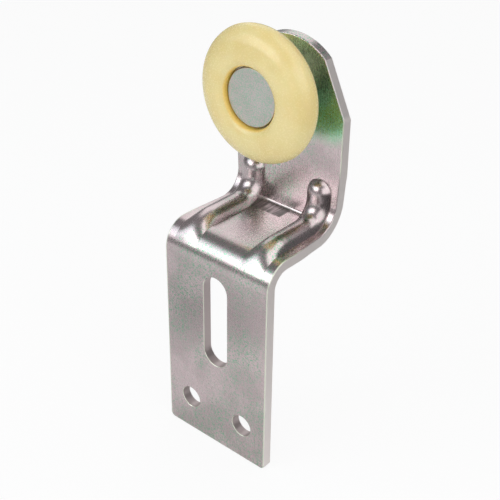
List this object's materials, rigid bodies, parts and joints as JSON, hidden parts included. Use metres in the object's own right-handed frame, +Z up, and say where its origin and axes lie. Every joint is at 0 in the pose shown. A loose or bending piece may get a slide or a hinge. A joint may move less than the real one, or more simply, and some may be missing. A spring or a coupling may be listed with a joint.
{
  "type": "wardrobe door roller",
  "caption": "Hanger roller for a sliding wardrobe door: a nylon wheel on a ball bearing, riveted to a cranked and ribbed steel bracket with a slot and screw holes.",
  "frame": {"origin": "midway between the two screw holes, on the face of the lower leg that lies against the door", "axes": "+X across the bracket, +Y from the visible side into the door, +Z up along the bracket towards the wheel"},
  "size_m": [0.0318, 0.0289, 0.1056],
  "materials": {
    "plated_steel": "smooth zinc plating",
    "rivet_steel": "satin",
    "bearing_steel": "ground",
    "nylon": "satin"
  },
  "bodies": {
    "bracket": {"hanger_bracket": "plated_steel", "axle_rivet": "rivet_steel", "front_cone": "bearing_steel", "rear_cone": "bearing_steel", "spacer_sleeve": "rivet_steel"},
    "wheel": {"nylon_wheel": "nylon", "outer_race": "bearing_steel", "rear_shield": "rivet_steel"},
    "cage": {"ball_cage": "bearing_steel", "ball_1": "bearing_steel", "ball_2": "bearing_steel", "ball_3": "bearing_steel", "ball_4": "bearing_steel", "ball_5": "bearing_steel", "ball_6": "bearing_steel", "ball_7": "bearing_steel", "ball_8": "bearing_steel"}
  },
  "joints": [
    {"name": "wheel_spin", "type": "hinge", "parent": "bracket", "child": "wheel", "pos_m": [0, 0.0121, 0.0799], "axis": [0, 1, 0], "continuous": true},
    {"name": "cage_orbit", "type": "hinge", "parent": "bracket", "child": "cage", "pos_m": [0, 0.0121, 0.0799], "axis": [0, 1, 0], "continuous": true}
  ],
  "couplings": [
    {"joint": "cage_orbit", "follows": "wheel_spin", "ratio": 0.6271}
  ]
}
